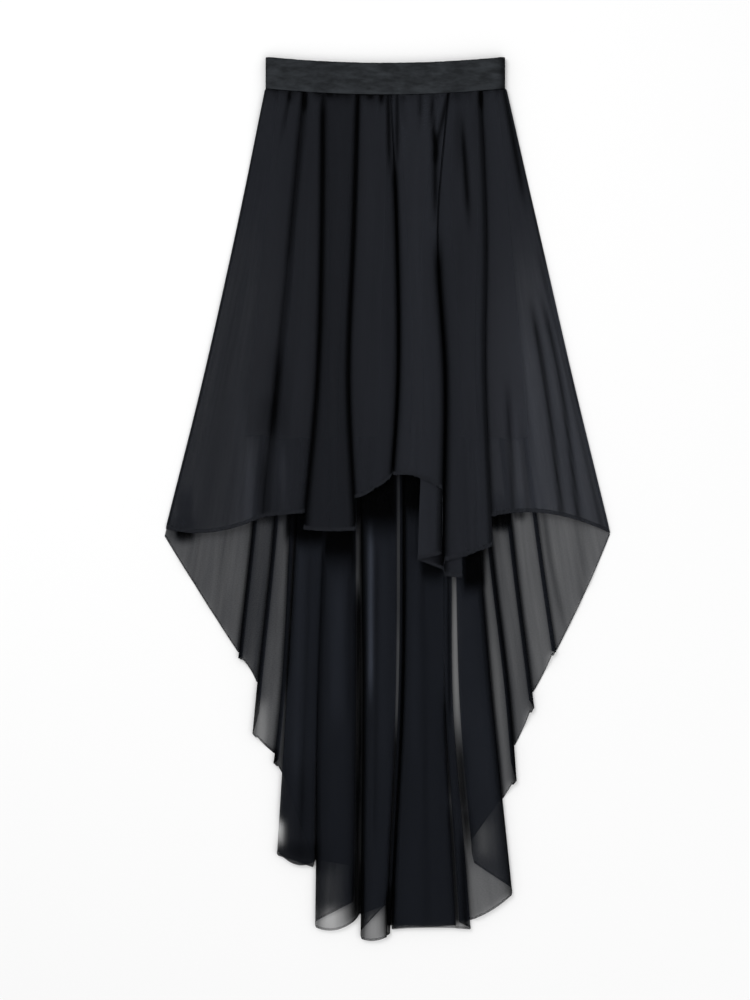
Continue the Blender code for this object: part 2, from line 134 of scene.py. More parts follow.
BACK_SPOTS = [
    Spot(-103, 865, 25, 52, 0.35),
    Spot(-100, 919, 27, 18, 0.50),
    Spot(78.5, 690, 4, 70, -0.25),
    Spot(-122, 891, 4.5, 17, -1.7),
    Spot(-66, 991, 17, 15, -0.8),
    Spot(-68, 957, 14, 26, -0.22),
    Spot(-34, 962, 6, 34, 0.5),
    Spot(3, 985, 6, 28, 0.8),
    Spot(108, 898, 16, 22, -0.32),
    Spot(20, 1001, 14, 5, -1.2),
    Spot(78, 998, 16, 4, -1.2),
    Spot(-235, 542, 15, 13, 0.85),
    Spot(-131, 805, 6, 11, 0.6),
    Spot(-17, 999, 13, 17, -0.5),
    Spot(-146, 764, 9, 26, -0.5),
]

# A painted pool of light: where a panel is painted lighter as a whole.
BACK_GLOW = Spot(112, 790, 16, 60, 0.15)

# How the cloth lies: its lift off the floor, the height of one layer at the band and below it, and the
# depths between which it settles from one to the other.
CLOTH_LIFT = 0.5
LAYER_AT_BAND = 1.3
LAYER_BELOW = 2.4
SETTLE = (40.0, 115.0)

# Laps: their share of the full width at the band, the depth by which they are full, half the slit
# between two laps, the clear space beside a lap, and the width over which the cloth sinks from it.
LAP_AT_BAND = 0.35
LAP_FULL_BY = 330.0
HALF_SLIT = 1.0
CLEAR = 1.2
SINK = 14.0

# Stations: the fewest across a lap or an open part, the steps in each turn of a lap, the shares of the
# way between, after and before its turns, the spread over a slit, and where its top layer ends.
FEWEST = 4
ARC_STEPS = 6
THIRDS = (0.33, 0.67)
AFTER_TURN = (0.1, 0.3)
BEFORE_TURN = (0.7, 0.9)
IN_SLIT = (-0.05, 0.0, 0.05)
LAP_END = 1.06


def soft(value, low, high):
    """0 below low, 1 above high, and a soft step between."""
    share = np.clip((np.asarray(value, float) - low) / (high - low), 0.0, 1.0)
    return share * share * (3.0 - 2.0 * share)


def mix(first, second, share):
    return first + (second - first) * share


def line_at(row, depths, depth):
    """Where a fold line or crease crosses the skirt at each depth: a soft curve through its places."""
    places = (row.x1, row.x2, row.x3, row.x4)
    slopes = [(places[i + 1] - places[i]) / (depths[i + 1] - depths[i]) for i in range(3)]
    depth = np.asarray(depth, float)
    across = places[0] + slopes[0] * (depth - depths[0])
    for i in range(3):
        start = slopes[0] if i == 0 else 0.5 * (slopes[i - 1] + slopes[i])
        end = slopes[2] if i == 2 else 0.5 * (slopes[i] + slopes[i + 1])
        step = depths[i + 1] - depths[i]
        share = (depth - depths[i]) / step
        lean = (1.0 - share) * (start - slopes[i]) - share * (end - slopes[i])
        piece = mix(places[i], places[i + 1], share) + share * (1.0 - share) * step * lean
        across = np.where(depth >= depths[i], piece, across)
    beyond = places[3] + slopes[2] * (depth - depths[3])
    return np.where(depth >= depths[3], beyond, across)


def turn_points(edge, radius, side, layer):
    """The cloth's round turn at a fold's edge, from one layer to the next."""
    angles = [math.pi * step / ARC_STEPS for step in range(ARC_STEPS + 1)]
    return [(edge + side * radius * math.sin(a), layer + 0.5 - 0.5 * math.cos(a)) for a in angles]


def lap_counts(folds, depths, spacing):
    """How many stations lie across the top of the lap on each side of each fold line."""
    lines = [float(line_at(fold, depths, depths[1])) for fold in folds]
    counts = []
    for i, fold in enumerate(folds):
        left = fold.lap_l * (lines[i] - lines[i - 1]) if fold.lap_l else 0.0
        right = fold.lap_r * (lines[i + 1] - lines[i]) if fold.lap_r else 0.0
        counts.append((max(FEWEST, int(left / spacing)), max(FEWEST, int(right / spacing))))
    return counts


def fold_path(fold, line, lap_left, lap_right, radius, steps):
    """The cloth's way through one fold at one depth: x and layer at each station, left to right."""
    if fold.lap_l == 0.0 and fold.lap_r == 0.0:
        return [(line, 0.0)]
    both = fold.lap_l > 0.0 and fold.lap_r > 0.0
    half_slit = radius + HALF_SLIT if both else 0.0
    path = []
    if fold.lap_l > 0.0:
        edge = line - half_slit
        inner = edge - lap_left
        path += [(inner - radius - CLEAR, 2.0)]
        path += [(mix(inner, edge, n / steps[0]), 2.0) for n in range(steps[0])]
        path += [(x, 3.0 - layer) for x, layer in turn_points(edge, radius, 1.0, 1.0)]
        path += [(mix(edge, inner, share), 1.0) for share in THIRDS]
        path += [(x, 1.0 - layer) for x, layer in turn_points(inner, radius, -1.0, 0.0)]
        if not both:
            path += [(mix(inner, edge, share), 0.0) for share in BEFORE_TURN]
    if both:
        path += [(line + side * half_slit, 0.0) for side in (-1.0, 0.0, 1.0)]
    else:
        side = 1.0 if fold.lap_l > 0.0 else -1.0
        path.append((line + side * (radius + CLEAR), 0.0))
    if fold.lap_r > 0.0:
        edge = line + half_slit
        inner = edge + lap_right
        if not both:
            path += [(mix(edge, inner, share), 0.0) for share in AFTER_TURN]
        path += turn_points(inner, radius, 1.0, 0.0)
        path += [(mix(inner, edge, share), 1.0) for share in THIRDS]
        path += turn_points(edge, radius, -1.0, 1.0)
        path += [(mix(edge, inner, (n + 1) / steps[1]), 2.0) for n in range(steps[1])]
        path += [(inner + radius + CLEAR, 2.0)]
    return path


def fold_hems(fold, steps, hold):
    """The hem at each station of that way: its depth, or a lap's share of the panel beside it."""
    if fold.lap_l == 0.0 and fold.lap_r == 0.0:
        return [("flat", fold.hem_r)]
    both = fold.lap_l > 0.0 and fold.lap_r > 0.0
    arc = [step / ARC_STEPS for step in range(ARC_STEPS + 1)]
    hems = []
    if fold.lap_l > 0.0:
        second = fold.turn_1 if both else fold.turn_2
        near = mix(fold.hem_l, fold.turn_1, hold)
        hems += [("left", LAP_END)] + [("left", 1.0 - n / steps[0]) for n in range(steps[0])]
        hems += [("flat", mix(fold.hem_l, near, share)) for share in arc]
        hems += [("flat", mix(near, fold.turn_1, share)) for share in THIRDS]
        hems += [("flat", mix(fold.turn_1, second, share)) for share in arc]
        if not both:
            hems += [("flat", mix(fold.turn_2, fold.hem_r, share)) for share in BEFORE_TURN]
    if both:
        middle = fold.lap_l / (fold.lap_l + fold.lap_r)
        hems += [("flat", mix(fold.turn_1, fold.turn_2, middle + step)) for step in IN_SLIT]
    else:
        hems.append(("flat", fold.hem_r if fold.lap_l > 0.0 else fold.hem_l))
    if fold.lap_r > 0.0:
        first = fold.turn_2 if both else fold.turn_1
        near = mix(fold.hem_r, fold.turn_2, hold)
        if not both:
            hems += [("flat", mix(fold.hem_l, fold.turn_1, share)) for share in AFTER_TURN]
        hems += [("flat", mix(first, fold.turn_2, share)) for share in arc]
        hems += [("flat", mix(fold.turn_2, near, share)) for share in THIRDS]
        hems += [("flat", mix(near, fold.hem_r, share)) for share in arc]
        hems += [("right", (n + 1) / steps[1]) for n in range(steps[1])] + [("right", LAP_END)]
    return hems


def hem_across(left, right, share):
    """Depth of the hem at a share of the way across the panel between two fold lines."""
    slope = 4.0 * left.hem_mid - 3.0 * left.hem_r - right.hem_l
    curve = 2.0 * (left.hem_r + right.hem_l) - 4.0 * left.hem_mid
    return left.hem_r + slope * share + curve * share * share


def open_counts(folds, depths, spacing):
    """How many stations lie across the open part of each panel."""
    counts = []
    for left, right in zip(folds, folds[1:]):
        width = line_at(right, depths, depths[1]) - line_at(left, depths, depths[1])
        counts.append(max(FEWEST, int(width * (1.0 - left.lap_r - right.lap_l) / spacing)))
    return counts


def station_hems(folds, counts, steps, hold):
    """Depth of the hem at every station of the panel, left to right."""
    hems = [fold_hems(folds[0], steps[0], hold)[0][1]]
    for i, count in enumerate(counts):
        left, right = folds[i], folds[i + 1]
        start = left.lap_r * LAP_END if left.lap_r else 0.0
        end = 1.0 - right.lap_l * LAP_END if right.lap_l else 1.0
        hems += [hem_across(left, right, mix(start, end, n / (count + 1))) for n in range(1, count + 1)]
        for kind, value in fold_hems(right, steps[i + 1], hold):
            if kind == "flat":
                hems.append(value)
            elif kind == "left":
                hems.append(hem_across(left, right, 1.0 - right.lap_l * value))
            else:
                hems.append(hem_across(right, folds[i + 2], right.lap_r * value))
    return np.array(hems)


def sections(folds, depths, counts, steps, grid, edges=None):
    """The cloth's path across a panel at each depth of the grid: x and layer at every station."""
    lines = np.array([line_at(fold, depths, grid) for fold in folds])
    if edges is not None:
        upper = grid < depths[1]
        for place, (row, row_depths) in zip((0, -1), edges):
            lines[place] = np.where(upper, line_at(row, row_depths, grid), lines[place])
    across, layers = [], []
    for row, depth in enumerate(grid):
        lap_share = mix(LAP_AT_BAND, 1.0, float(soft(depth, SETTLE[0], LAP_FULL_BY)))
        radius = 0.5 * layer_step(depth)
        line = lines[:, row]
        ways = []
        for i, fold in enumerate(folds):
            lap_left = lap_share * fold.lap_l * (line[i] - line[i - 1]) if fold.lap_l else 0.0
            lap_right = lap_share * fold.lap_r * (line[i + 1] - line[i]) if fold.lap_r else 0.0
            ways.append(fold_path(fold, line[i], lap_left, lap_right, radius, steps[i]))
        path = list(ways[0])
        for i, count in enumerate(counts):
            start, start_layer = ways[i][-1]
            end, end_layer = ways[i + 1][0]
            one_high = (start_layer > 0.0) != (end_layer > 0.0)
            sink = min(SINK, end - start) if one_high else SINK
            for number in range(1, count + 1):
                x = mix(start, end, number / (count + 1))
                layer = start_layer * (1.0 - float(soft(x - start, 0.0, sink)))
                layer += end_layer * (1.0 - float(soft(end - x, 0.0, sink)))
                path.append((x, min(2.0, layer)))
            path += ways[i + 1]
        across.append([x for x, layer in path])
        layers.append([layer for x, layer in path])
    return np.array(across), np.array(layers)


def layer_step(depth):
    """Height of one layer of cloth at a depth."""
    return mix(LAYER_AT_BAND, LAYER_BELOW, float(soft(depth, *SETTLE)))


def waist_seam(x):
    """Depth of the seam under the band, which sinks in the middle."""
    middle = 0.5 * sum(BAND_ENDS)
    reach = 0.5 * (BAND_ENDS[1] - BAND_ENDS[0])
    share = np.minimum(1.0, np.abs(x - middle) / reach)
    return SEAM_DEPTH + BAND_DIP * (1.0 - share * share)


# A panel's lowest layer: its height at the side seams, the depth by which it is down there, the front's
# full height at the band and below, how far in from the seams it is full, and the depth of the last.
SEAM_LIFT = 4.3
SEAM_DOWN_BY = 150.0
FRONT_LIFT = (7.0, 10.2)
SEAM_REACH = (13.0, 50.0)
REACH_BY = 300.0


def resting_height(side, x, depth):
    """Height of a panel's lowest layer: down at the side seams, and full away from them."""
    inward = np.minimum(x - x[:, :1], x[:, -1:] - x)
    fall = mix(*SEAM_REACH, soft(depth, SETTLE[0], REACH_BY))
    rise = soft(inward / fall, 0.0, 1.0)
    back_edge = mix(SEAM_LIFT, CLOTH_LIFT, soft(depth, SETTLE[0], SEAM_DOWN_BY))
    if side == "back":
        return mix(back_edge, CLOTH_LIFT, rise)
    full = mix(*FRONT_LIFT, soft(depth, *SETTLE))
    return mix(back_edge + LAYER_AT_BAND, full, rise)


# How far a crease or shadow fades round its ends, and where a crease's shoulders rise and fall, in its
# half widths from the line.
FADE = 30.0
SHOULDER_UP = (0.0, 1.3)
SHOULDER_DOWN = (1.5, 4.0)


def shows_between(grid, begins, ends=None):
    """How much of a crease or shadow shows at each depth: it fades in and out round its ends."""
    shows = soft(grid, begins - FADE, begins + FADE) if begins else np.ones_like(grid)
    if ends is not None:
        shows = shows * (1.0 - soft(grid, ends - FADE, ends + FADE))
    return shows[:, None]


def crease_shape(creases, depths, x, grid):
    """Height of the shoulders beside the creases, the shadow in them and the light on the ridges."""
    height, shadow, light = (np.zeros_like(x) for _ in range(3))
    for crease in creases:
        off = np.abs(x - line_at(crease, depths, grid)[:, None]) / crease.half
        fade = shows_between(grid, crease.begins, crease.ends)
        shoulder = soft(off, *SHOULDER_UP) * (1.0 - soft(off, *SHOULDER_DOWN))
        height = np.maximum(height, crease.high * shoulder * fade)
        if crease.dark > 0.0:
            shadow = np.maximum(shadow, crease.dark * np.exp(-off * off) * fade)
        else:
            light = np.maximum(light, -crease.dark * np.exp(-off * off) * fade)
    return height, shadow, light


# The share of a pleat's shadow that lies close to its edge.
SHADOW_CORE = 0.84


def fold_shadow(folds, depths, x, grid):
    """The shadow line along each pleat's edge, with a faint wider one round it."""
    shadow = np.zeros_like(x)
    for fold in folds:
        if fold.dark:
            off = np.abs(x - line_at(fold, depths, grid)[:, None]) / fold.wide
            line = SHADOW_CORE * np.exp(-off**2.6) + (1.0 - SHADOW_CORE) * np.exp(-off * off / 8.0)
            shadow = np.maximum(shadow, fold.dark * line * shows_between(grid, fold.begins))
    return shadow


# Half the width over which two panels blend.
BLEND = 3.0


def panel_values(folds, depths, x, grid, field):
    """One value for each panel, blended over its fold lines."""
    values = np.full_like(x, getattr(folds[0], field))
    for fold in folds[1:-1]:
        line = line_at(fold, depths, grid)[:, None]
        values = mix(values, getattr(fold, field), soft(x - line, -BLEND, BLEND))
    return values


def spot_values(spots, x, grid):
    """Sum of the spots above 0, which are painted shade, and of those below it."""
    spot_shade, sheerer = np.zeros_like(x), np.zeros_like(x)
    for spot in spots:
        off = np.exp(-((x - spot.x) / spot.wide) ** 2 - ((grid[:, None] - spot.depth) / spot.deep) ** 4)
        if spot.amount > 0.0:
            spot_shade += spot.amount * off
        else:
            sheerer -= spot.amount * off
    return spot_shade, sheerer


def unevenness(x, grid, seed):
    """Small slow waves in the cloth, from sums of sines that never repeat together."""
    down = grid[:, None]
    waves = np.sin(x / 5.3 + 1.9 * np.sin(down / 83.0 + seed) + seed)
    waves += 0.7 * np.sin(x / 9.1 - down / 61.0 + 2.3 * seed)
    waves += 0.6 * np.sin(x / 17.0 + down / 127.0 + 0.7 * seed)
    return waves


# What is kept of a laid sheet for the pieces sewn to it: the depth grid, and each station's place,
# height, hem and waist seam.
LaidCloth = namedtuple("LaidCloth", "grid x z hems seam")


def to_skirt(x, depth, z):
    """From millimetres across, down and up to the skirt's own place."""
    return np.stack([skirt_middle + x * MM, skirt_top - depth * MM, z * MM], axis=-1)


def grid_mesh(name, points, uv, values=None):
    """A mesh of quads through rows of points, with its cloth map and its shading values."""
    rows, across = points.shape[:2]
    index = np.arange(rows * across).reshape(rows, across)
    here, beside = index[:, :-1], index[:, 1:]
    faces = np.stack([here[:-1], here[1:], beside[1:], beside[:-1]], axis=-1).reshape(-1, 4)
    mesh = bpy.data.meshes.new(name)
    mesh.from_pydata(points.reshape(-1, 3).tolist(), [], faces.tolist())
    flat_uv = uv.reshape(-1, 2)
    layer = mesh.uv_layers.new(name="cloth")
    corners = np.empty(len(mesh.loops), np.int32)
    mesh.loops.foreach_get("vertex_index", corners)
    layer.data.foreach_set("uv", flat_uv[corners].astype(np.float32).ravel())
    for field, value in (values or {}).items():
        kept = mesh.attributes.new(field, "FLOAT", "POINT")
        kept.data.foreach_set("value", np.ascontiguousarray(value, np.float32).ravel())
    mesh.shade_smooth()
    thing = bpy.data.objects.new(name, mesh)
    bpy.context.scene.collection.objects.link(thing)
    return thing


# The grid that a panel is worked out on: its first depth, its step, how far it runs past the hem, and
# the depths at which the waist seam and the width of the cloth are read from it.
GRID_TOP = 30.0
GRID_STEP = 4.0
PAST_HEM = 12.0
WAIST_AT = 40.0
WIDTH_AT = 300.0

# Slow waves in the cloth: their height, and how far in from the edges and down from the band they
# start. Upper layers lie calmer.
WAVE = 0.16
WAVE_REST = 2.3
CALM_EDGE = 14.0
WAVES_BELOW = (50.0, 130.0)
CALM_LAYERS = 0.42

# How the cloth looks: what a full shadow takes from its tone and how far it closes it, what a sheer
# place lets through, and how close the gathers make it under the band.
SHADOW_TAKES = 0.96
SHADOW_CLOSES = 0.97
SHEER_OPENS = 0.45
GATHERED = (0.9, 0.5)
GATHERS = (60.0, 430.0)
GATHERS_DARKEN = 0.6

# How much of a lap's hem step is taken round the fold's edge: the front's laps hang straight.
HOLD = {"front": 0.92, "back": 0.25}


def lay_cloth(name, folds, creases, spots, glow, depths, side, rows, spacing, seed, shade, edges=None):
    """Lays one pleated panel: returns its mesh and what the pieces sewn to it need."""
    counts = open_counts(folds, depths, spacing)
    steps = lap_counts(folds, depths, spacing)
    hems = station_hems(folds, counts, steps, HOLD[side])
    grid = np.arange(GRID_TOP, max(hems) + PAST_HEM, GRID_STEP)
    x, layer = sections(folds, depths, counts, steps, grid, edges)
    height, shadow, light = crease_shape(creases, depths, x, grid)
    layer_heights = np.array([layer_step(depth) for depth in grid])[:, None]
    inward = soft(np.minimum(x - x[:, :1], x[:, -1:] - x), 0.0, CALM_EDGE)
    waves = WAVE * (WAVE_REST + unevenness(x, grid, seed)) * inward
    z = resting_height(side, x, grid[:, None]) + layer * layer_heights
    z += (height + waves * soft(grid, *WAVES_BELOW)[:, None]) * (1.0 - CALM_LAYERS * layer)
    shadow = np.maximum(shadow, fold_shadow(folds, depths, x, grid))
    # Spots above 0 add painted shade to the shadows, and the glow adds painted light.
    spot_shade, sheerer = spot_values(spots, x, grid)
    shadow = np.clip(np.maximum(shadow, shade(x, grid)) + spot_shade, 0.0, 1.0)
    light += spot_values([glow], x, grid)[0]
    # The gathers lie close under the band, so there the cloth is less sheer but no lighter.
    sheer = panel_values(folds, depths, x, grid, "cover")
    close = np.maximum(sheer, mix(*GATHERED, soft(grid, *GATHERS))[:, None])
    # Painted shade and light: each panel's painted tone, darkened by the painted shadows and lightened
    # by the painted light.
    tone = panel_values(folds, depths, x, grid, "tone") * (1.0 - SHADOW_TAKES * shadow) * (1.0 + light)
    tone *= (sheer / close) ** GATHERS_DARKEN
    cover = mix(close, SHADOW_CLOSES, shadow) - SHEER_OPENS * sheerer
    seam = waist_seam(x[np.searchsorted(grid, WAIST_AT)])
    shares = np.linspace(0.0, 1.0, rows)[:, None]
    down = seam[None, :] + shares * (hems - seam)[None, :]
    laid = [np.empty_like(down) for _ in range(4)]
    for station in range(len(hems)):
        for result, field in zip(laid, (x, z, tone, cover)):
            result[:, station] = np.interp(down[:, station], grid, field[:, station])
    along = np.searchsorted(grid, WIDTH_AT)
    run = np.hypot(np.diff(x[along]), np.diff(z[along]))
    u = np.concatenate([[0.0], np.cumsum(run)]) * MM
    uv = np.stack([np.broadcast_to(u, down.shape), down * MM], axis=-1)
    shading = {"tone": laid[2], "cover": laid[3]}
    thing = grid_mesh(name, to_skirt(laid[0], down, laid[1]), uv, shading)
    return thing, LaidCloth(grid, x, z, hems, seam)


# The shade that the front hem throws on the back panel, from left to right along the hem. It begins
# under the front, is full for a while below the hem, and then fades.
Shade = namedtuple("Shade", "left right hem full gone strength begins")

HEM_SHADES = [
    Shade(-241, -224, 541, 4, 20, 0.7, 500),
    Shade(-152, -118, 527, 3, 12, 0.6, 490),
    Shade(-118, -95, 520, 24, 50, 0.95, 425),
    Shade(-112, -72, 541, 8, 34, 1.0, 425),
    Shade(-74, -37, 541, 20, 60, 1.0, 425),
    Shade(-44, -35, 541, 30, 85, 0.9, 425),
    Shade(-38, 12, 495, 27, 72, 1.0, 425),
    Shade(14, 46, 486, 26, 62, 1.0, 425),
    Shade(38, 64, 577, 12, 36, 0.9, 425),
    Shade(86, 113, 568, 34, 58, 1.0, 425),
    Shade(116, 144, 527, 10, 22, 1.0, 505),
    Shade(144, 158, 524, 2, 12, 0.6, 505),
]

# How softly a shade starts, across the skirt and down it.
SHADE_SIDE = 4.0
SHADE_START = 15.0


def hem_shade(x, grid):
    """The front hem's shade at every place of the back panel."""
    shade = np.zeros_like(x)
    down = grid[:, None]
    for row in HEM_SHADES:
        across = soft(x, row.left - SHADE_SIDE, row.left + SHADE_SIDE)
        across = across * (1.0 - soft(x, row.right - SHADE_SIDE, row.right + SHADE_SIDE))
        reach = 1.0 - soft(down, row.hem + row.full, row.hem + row.gone)
        reach = reach * soft(down, row.begins - SHADE_START, row.begins + SHADE_START)
        shade = np.maximum(shade, row.strength * across * reach)
    return shade


# The front's four depths, and the side seams, which both panels follow down to the front hem.
FRONT_DEPTHS = (40.0, 200.0, 370.0, 530.0)
LEFT_SEAM = Fold(-141, -174, -212, -252, 0.00, 0.00, 541, 541, 541, 541, 545, 1.16, 0.66, 0.0, 1, 0)
RIGHT_SEAM = Fold(137, 174, 213, 252, 0.00, 0.00, 546, 546, 546, 546, 546, 1.25, 0.74, 0.0, 1, 0)
side_seams = ((LEFT_SEAM, FRONT_DEPTHS), (RIGHT_SEAM, FRONT_DEPTHS))

back_panel, back_cloth = lay_cloth(
    "back_panel_chiffon", BACK_FOLDS, BACK_CREASES, BACK_SPOTS, BACK_GLOW, BACK_DEPTHS, "back",
    rows=190, spacing=2.4, seed=0.6, shade=hem_shade, edges=side_seams,
)


def math_node(tree, operation, *given):
    """The result of a math node, from sockets and plain numbers."""
    node = tree.nodes.new("ShaderNodeMath")
    node.operation = operation
    for socket, value in zip(node.inputs, given):
        if isinstance(value, float):
            socket.default_value = value
        else:
            tree.links.new(value, socket)
    return node.outputs[0]


def noise_node(tree, place, scale, detail, roughness=0.5):
    """Noise over a place."""
    noise = tree.nodes.new("ShaderNodeTexNoise")
    noise.inputs["Scale"].default_value = scale
    noise.inputs["Detail"].default_value = detail
    noise.inputs["Roughness"].default_value = roughness
    tree.links.new(place, noise.inputs["Vector"])
    return noise.outputs["Fac"]


def weave_group():
    """Plain weave of fine twisted threads: how high each thread stands, and its uneven tone."""
    group = bpy.data.node_groups.new("chiffon weave", "ShaderNodeTree")
    for name, value in (("Thread", 0.0005), ("Streaks", 0.3)):
        socket = group.interface.new_socket(name=name, in_out="INPUT", socket_type="NodeSocketFloat")
        socket.default_value = value
    for name in ("Height", "Tone"):
        group.interface.new_socket(name=name, in_out="OUTPUT", socket_type="NodeSocketFloat")
    nodes, links = group.nodes, group.links
    given = nodes.new("NodeGroupInput")
    result = nodes.new("NodeGroupOutput")
    cloth = nodes.new("ShaderNodeUVMap")
    cloth.uv_map = "cloth"
    split = nodes.new("ShaderNodeSeparateXYZ")
    links.new(cloth.outputs["UV"], split.inputs[0])
    threads = []
    for axis in ("X", "Y"):
        count = math_node(group, "DIVIDE", split.outputs[axis], given.outputs["Thread"])
        threads.append(math_node(group, "SINE", math_node(group, "MULTIPLY", count, 2.0 * math.pi)))
    links.new(math_node(group, "MULTIPLY", *threads), result.inputs["Height"])
    stretch = nodes.new("ShaderNodeMapping")
    stretch.inputs["Scale"].default_value = (260.0, 9.0, 1.0)
    links.new(cloth.outputs["UV"], stretch.inputs[0])
    slubs = noise_node(group, stretch.outputs[0], 1.0, 3.0)
    grain = noise_node(group, cloth.outputs["UV"], 900.0, 2.0)
    centred = math_node(group, "SUBTRACT", math_node(group, "ADD", slubs, grain), 1.0)
    tone = math_node(group, "MULTIPLY_ADD", centred, given.outputs["Streaks"], 1.0)
    links.new(tone, result.inputs["Tone"])
    return group


chiffon_weave = weave_group()


def new_material(name, roughness, shine):
    """A material to fill in, with its node tree and its shader."""
    material = bpy.data.materials.new(name)
    material.use_nodes = True
    shader = material.node_tree.nodes["Principled BSDF"]
    shader.inputs["Roughness"].default_value = roughness
    shader.inputs["Specular IOR Level"].default_value = shine
    return material, material.node_tree, shader


def add_bump(tree, height, strength, distance):
    """Fine relief on the shader of a material."""
    bump = tree.nodes.new("ShaderNodeBump")
    bump.inputs["Strength"].default_value = strength
    bump.inputs["Distance"].default_value = distance
    tree.links.new(height, bump.inputs["Height"])
    tree.links.new(bump.outputs["Normal"], tree.nodes["Principled BSDF"].inputs["Normal"])


def chiffon(name, colour, streaks):
    """Sheer black chiffon, darkened and lightened by the painted shade and light of its tone, and closed
    by its cover.
    """
    material, tree, shader = new_material(name, 0.7, 0.01)
    weave = tree.nodes.new("ShaderNodeGroup")
    weave.node_tree = chiffon_weave
    weave.inputs["Streaks"].default_value = streaks
    shade = {}
    for field in ("tone", "cover"):
        kept = tree.nodes.new("ShaderNodeAttribute")
        kept.attribute_name = field
        shade[field] = math_node(tree, "MULTIPLY", kept.outputs["Fac"], weave.outputs["Tone"])
    tinted = tree.nodes.new("ShaderNodeVectorMath")
    tinted.operation = "SCALE"
    tinted.inputs[0].default_value = colour
    tree.links.new(shade["tone"], tinted.inputs["Scale"])
    tree.links.new(tinted.outputs[0], shader.inputs["Base Color"])
    tree.links.new(shade["cover"], shader.inputs["Alpha"])
    add_bump(tree, weave.outputs["Height"], 0.25, 0.0002)
    return material


INSIDE_COLOUR = (0.0100, 0.0114, 0.0150)
INSIDE_STREAKS = 0.19
back_panel.data.materials.append(chiffon("chiffon inside", INSIDE_COLOUR, INSIDE_STREAKS))
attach(back_panel, "root")
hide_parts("back_panel")


# Lining
# Two short plain pieces of opaque black lining that lie on each other between the panels. Their hem
# shows faintly through the chiffon on the left.

# Half widths at the waist and the hem, and the depth of the hem. Then the waves, their height and the
# depths where they start, the height of the lower piece at the band and below, and each piece's lift.
LINING_WAIST = 126.0
LINING_HEM_HALF = 162.0
LINING_HEM = 436.0
LINING_WAVES = 5
LINING_WAVE = 0.8
LINING_WAVES_BELOW = (60.0, 200.0)
LINING_LOW = (4.4, 6.8)
LINING_LIFTS = {"lining_back": 0.0, "lining_front": 1.3}


def lay_lining(name, lift, rows=60, across=120):
    """One lining piece, laid flat with a slightly wavy hem."""
    place = np.linspace(-1.0, 1.0, across + 1)[None, :]
    share = np.linspace(0.0, 1.0, rows)[:, None]
    start = waist_seam(place * LINING_WAIST)
    end = LINING_HEM + 2.2 * np.sin(place * 9.0 + lift) + 1.2 * np.sin(place * 23.0)
    down = mix(start, end, share)
    half = mix(LINING_WAIST, LINING_HEM_HALF, share)
    low = mix(*LINING_LOW, soft(down, *SETTLE))
    wave = np.abs(np.mod(place * LINING_WAVES, 2.0) - 1.0)
    swell = LINING_WAVE * soft(wave, 0.0, 1.0) * soft(down, *LINING_WAVES_BELOW)
    points = to_skirt(place * half, down, low + lift + swell)
    uv = np.stack([place * half * MM, down * MM], axis=-1)
    return grid_mesh(name, points, uv)


def lining_cloth():
    """Opaque lining with a fine plain weave and a faint shine."""
    material, tree, shader = new_material("lining cloth", 0.45, 0.3)
    weave = tree.nodes.new("ShaderNodeGroup")
    weave.node_tree = chiffon_weave
    weave.inputs["Thread"].default_value = 0.0003
    weave.inputs["Streaks"].default_value = 0.2
    tinted = tree.nodes.new("ShaderNodeMix")
    tinted.data_type = "RGBA"
    tinted.blend_type = "MULTIPLY"
    tinted.inputs["Factor"].default_value = 1.0
    tinted.inputs["A"].default_value = (0.006, 0.006, 0.008, 1.0)
    tree.links.new(weave.outputs["Tone"], tinted.inputs["B"])
    tree.links.new(tinted.outputs["Result"], shader.inputs["Base Color"])
    add_bump(tree, weave.outputs["Height"], 0.2, 0.0001)
    return material


lining_material = lining_cloth()
for node, rests in (("lining_back", "back_panel_chiffon"), ("lining_front", "lining_back_cloth")):
    lining = lay_lining(node + "_cloth", LINING_LIFTS[node])
    lining.data.materials.append(lining_material)
    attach(lining, "root")
    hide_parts(node)


# Front panel
# The same chiffon, gathered at the waist and cut short at the middle. It lies right side up on the
# lining and the back panel, in soft pleats that open towards an uneven hem.

FRONT_FOLDS = [
    LEFT_SEAM,
    Fold(-95, -109.5, -126, -142, 0.00, 0.14, 528, 527, 527, 527, 525, 1.04, 0.78, 0.62, 5.0, 0),
    Fold(-74, -75, -80, -94, 0.00, 0.30, 523, 533, 540, 542, 544, 0.78, 0.86, 1.0, 4.4, 42),
    Fold(-34, -39, -45, -38, 0.30, 0.00, 543, 535, 520, 506, 499, 1.0, 0.86, 1.0, 4.0, 0),
    Fold(4, 10.5, 12, 2, 0.30, 0.25, 483, 478, 478, 480, 482, 1.19, 0.86, 1.0, 4.4, 115),
    Fold(70, 57.5, 66, 64, 0.40, 0.33, 496, 577, 597, 578, 571, 1.04, 0.86, 1.0, 5.6, 215),
    Fold(106, 112, 111, 118, 0.20, 0.00, 561, 545, 535, 527, 524, 1.32, 0.64, 0.78, 3.8, 0),
    RIGHT_SEAM,
]

